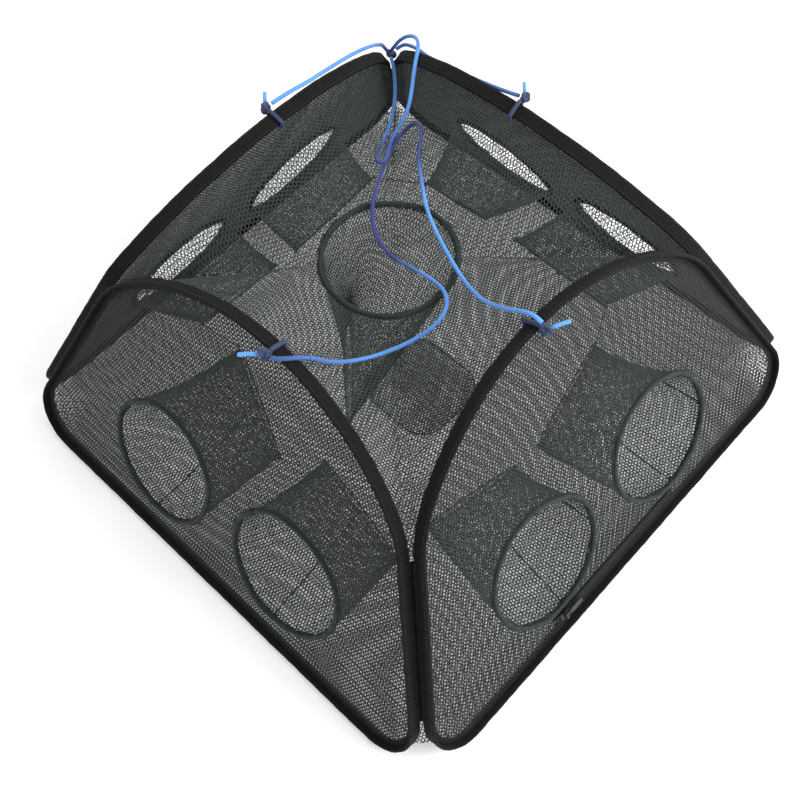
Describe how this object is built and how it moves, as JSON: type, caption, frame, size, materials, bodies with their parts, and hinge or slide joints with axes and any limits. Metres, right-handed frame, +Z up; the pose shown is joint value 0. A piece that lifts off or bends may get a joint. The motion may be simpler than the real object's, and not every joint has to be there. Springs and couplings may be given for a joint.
{
  "type": "folding crab trap",
  "caption": "Folding net trap with spring hoop sides, side funnel entries, a top funnel, a zip and blue lifting cords.",
  "frame": {"origin": "centre of the square base on the surface that the trap stands on", "axes": "+Z up, +X out of the side with the zip, -Y out of the side to its left when seen from above the corner between them"},
  "size_m": [0.6126, 0.6126, 0.3193],
  "materials": {
    "spring_steel": "satin",
    "crimp_steel": "satin",
    "binding_fabric": "woven",
    "side_netting": "knitted net",
    "top_netting": "knitted net",
    "funnel_netting": "knitted net",
    "ring_wire": "matte",
    "zip_tape": "woven",
    "zip_teeth": "matte",
    "zip_metal": "satin",
    "lift_cord": "braided",
    "cord_knot": "braided",
    "thread": "twisted"
  },
  "bodies": {
    "front": {"bait_pocket": "top_netting", "binding_front": "binding_fabric", "bottom_net": "side_netting", "entry_funnel_front_a": "funnel_netting", "entry_funnel_front_b": "funnel_netting", "entry_ring_front_a": "ring_wire", "entry_ring_front_b": "ring_wire", "funnel_ties": "thread", "hoop_ferrule_front": "crimp_steel", "hoop_strip_front": "spring_steel", "lift_cord_knot_front": "cord_knot", "lift_cord_near": "lift_cord", "seam_tape_front_left": "binding_fabric", "seam_tape_front_right": "binding_fabric", "side_net_front": "side_netting", "top_funnel": "funnel_netting", "top_net": "top_netting", "top_ring": "ring_wire"},
    "right": {"binding_right": "binding_fabric", "entry_funnel_right_a": "funnel_netting", "entry_funnel_right_b": "funnel_netting", "entry_ring_right_a": "ring_wire", "entry_ring_right_b": "ring_wire", "hoop_ferrule_right": "crimp_steel", "hoop_strip_right": "spring_steel", "lift_cord_knot_right": "cord_knot", "seam_tape_right_back": "binding_fabric", "side_net_right": "side_netting", "zip_tape_lower": "zip_tape", "zip_tape_upper": "zip_tape", "zip_teeth": "zip_teeth"},
    "back": {"binding_back": "binding_fabric", "entry_funnel_back_a": "funnel_netting", "entry_funnel_back_b": "funnel_netting", "entry_ring_back_a": "ring_wire", "entry_ring_back_b": "ring_wire", "hoop_ferrule_back": "crimp_steel", "hoop_strip_back": "spring_steel", "lift_cord_back": "lift_cord", "lift_cord_far": "lift_cord", "lift_cord_knot_back": "cord_knot", "lift_cord_knot_corner": "cord_knot", "seam_tape_left_back": "binding_fabric", "side_net_back": "side_netting"},
    "left": {"binding_left": "binding_fabric", "entry_funnel_left_a": "funnel_netting", "entry_funnel_left_b": "funnel_netting", "entry_ring_left_a": "ring_wire", "entry_ring_left_b": "ring_wire", "hoop_ferrule_left": "crimp_steel", "hoop_strip_left": "spring_steel", "lift_cord_knot_left": "cord_knot", "lift_cord_side": "lift_cord", "side_net_left": "side_netting"},
    "slider": {"zip_slider": "zip_metal"},
    "pull": {"zip_pull": "zip_metal"}
  },
  "joints": [
    {"name": "near_corner_fold", "type": "hinge", "parent": "front", "child": "right", "pos_m": [0.29228, -0.29228, 0.00296], "axis": [0.3893, -0.3893, -0.8348], "range_deg": [0, 75], "deforming": ["bait_pocket", "bottom_net", "entry_funnel_back_a", "entry_funnel_back_b", "entry_funnel_front_a", "entry_funnel_front_b", "entry_funnel_left_a", "entry_funnel_left_b", "entry_funnel_right_a", "entry_funnel_right_b", "funnel_ties", "lift_cord_back", "lift_cord_far", "lift_cord_knot_corner", "lift_cord_near", "lift_cord_side", "seam_tape_front_left", "seam_tape_front_right", "seam_tape_left_back", "seam_tape_right_back", "top_funnel", "top_net", "top_ring"]},
    {"name": "left_corner_fold", "type": "hinge", "parent": "front", "child": "left", "pos_m": [-0.29228, -0.29228, 0.00296], "axis": [-0.3893, -0.3893, -0.8348], "range_deg": [0, 80]},
    {"name": "right_corner_fold", "type": "hinge", "parent": "right", "child": "back", "pos_m": [0.29228, 0.29228, 0.00296], "axis": [-0.3893, -0.3893, 0.8348], "range_deg": [0, 80]},
    {"name": "zip_slide", "type": "slide", "parent": "right", "child": "slider", "axis": [0, 1, 0], "range_m": [0, 0.16]},
    {"name": "zip_pull_swing", "type": "hinge", "parent": "slider", "child": "pull", "pos_m": [0.29667, -0.0925, 0.02127], "axis": [-0.4226, 0, 0.9063], "range_deg": [-150, 0]}
  ],
  "couplings": [
    {"joint": "left_corner_fold", "follows": "near_corner_fold", "ratio": 1.03},
    {"joint": "right_corner_fold", "follows": "near_corner_fold", "ratio": 1.03}
  ]
}
